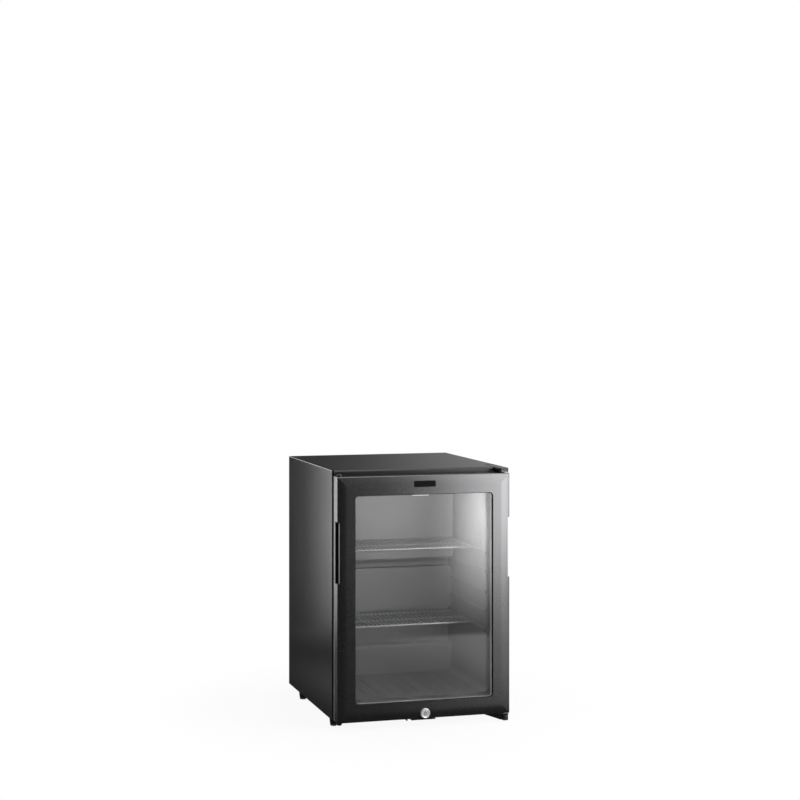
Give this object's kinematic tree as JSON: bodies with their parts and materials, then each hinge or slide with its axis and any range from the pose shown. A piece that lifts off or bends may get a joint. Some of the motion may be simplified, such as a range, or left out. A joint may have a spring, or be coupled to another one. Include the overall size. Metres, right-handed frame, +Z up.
{
  "type": "minibar fridge",
  "caption": "Small absorption minibar with a lockable double-glazed door on pin hinges, wire shelves on moulded ribs, a ceiling lamp and an open cooling unit at the back.",
  "frame": {"origin": "on the floor under the middle of the shut minibar, lock included", "axes": "+Z up, -Y out of the door's front, +X to the hinge side as seen from the front"},
  "size_m": [0.402, 0.455, 0.569],
  "materials": {
    "side_steel": "satin, fine grain",
    "pan_steel": "satin",
    "lid_black": "satin",
    "bezel_grey": "satin, fine grain",
    "inner_frame_grey": "matte",
    "liner_grey": "satin",
    "foam": "matte",
    "glass": "clear",
    "spacer_aluminium": "brushed",
    "seal_rubber": "matte",
    "gasket_rubber": "matte",
    "grip_black": "matte",
    "plate_black": "gloss",
    "shelf_wire": "bright",
    "lock_chrome": "bright",
    "lock_steel": "satin",
    "hinge_steel": "satin",
    "pin_steel": "bright",
    "bush_plastic": "satin",
    "screw_steel": "bright",
    "unit_black": "satin",
    "vane_aluminium": "satin",
    "cover_grey": "satin",
    "gutter_grey": "satin",
    "lamp_white": "satin",
    "lamp_lens": "frosted",
    "lamp_board": "satin",
    "box_black": "matte",
    "foot_black": "matte"
  },
  "bodies": {
    "cabinet": {"right_side_panel": "side_steel", "left_side_panel": "side_steel", "base_panel": "pan_steel", "rear_panel": "pan_steel", "top_panel": "lid_black", "hinge_cap": "lid_black", "blank_cap": "lid_black", "inner_liner": "liner_grey", "insulation_foam": "foam", "upper_hinge_arm": "hinge_steel", "lower_hinge_bracket": "hinge_steel", "lock_keeper": "hinge_steel", "upper_hinge_pin": "pin_steel", "lower_hinge_pin": "pin_steel", "mounting_screws": "screw_steel", "boiler_casing": "unit_black", "condenser_tube": "unit_black", "absorber_coil": "unit_black", "absorber_vessel": "unit_black", "liquid_tube": "unit_black", "condenser_saddles": "unit_black", "vessel_saddles": "unit_black", "boiler_collars": "unit_black", "condenser_vanes": "vane_aluminium", "evaporator_fins": "vane_aluminium", "evaporator_cover": "cover_grey", "drip_gutter": "gutter_grey", "lamp_housing": "lamp_white", "lamp_lens": "lamp_lens", "lamp_board": "lamp_board", "control_box": "box_black", "control_lid": "box_black", "cable_gland": "box_black", "foot_front_left": "foot_black", "foot_front_right": "foot_black", "foot_rear_left": "foot_black", "foot_rear_right": "foot_black", "hinge_foot": "foot_black"},
    "door": {"door_bezel": "bezel_grey", "door_inner_frame": "inner_frame_grey", "outer_glass": "glass", "inner_glass": "glass", "glass_spacer": "spacer_aluminium", "glazing_seal": "seal_rubber", "door_gasket": "gasket_rubber", "gasket_magnet": "seal_rubber", "grip_cup_right": "grip_black", "grip_cup_left": "grip_black", "badge_plate": "plate_black", "upper_hinge_bush": "bush_plastic", "lower_hinge_bush": "bush_plastic", "upper_blanking_plug": "grip_black", "lower_blanking_plug": "grip_black", "lock_barrel": "lock_chrome", "lock_nut": "lock_steel"},
    "lock_plug": {"lock_core": "lock_steel", "lock_cam": "lock_steel", "cam_screw": "lock_steel"},
    "upper_shelf": {"upper_shelf": "shelf_wire"},
    "lower_shelf": {"lower_shelf": "shelf_wire"}
  },
  "joints": [
    {"name": "door_hinge", "type": "hinge", "parent": "cabinet", "child": "door", "pos_m": [0.193, -0.2095, 0], "axis": [0, 0, 1], "range_deg": [0, 115]},
    {"name": "lock_turn", "type": "hinge", "parent": "door", "child": "lock_plug", "pos_m": [0, -0.2, 0.0308], "axis": [0, -1, 0], "range_deg": [0, 90]},
    {"name": "upper_shelf_slide", "type": "slide", "parent": "cabinet", "child": "upper_shelf", "axis": [0, -1, 0], "range_m": [0, 0.06]},
    {"name": "lower_shelf_slide", "type": "slide", "parent": "cabinet", "child": "lower_shelf", "axis": [0, -1, 0], "range_m": [0, 0.08]}
  ]
}
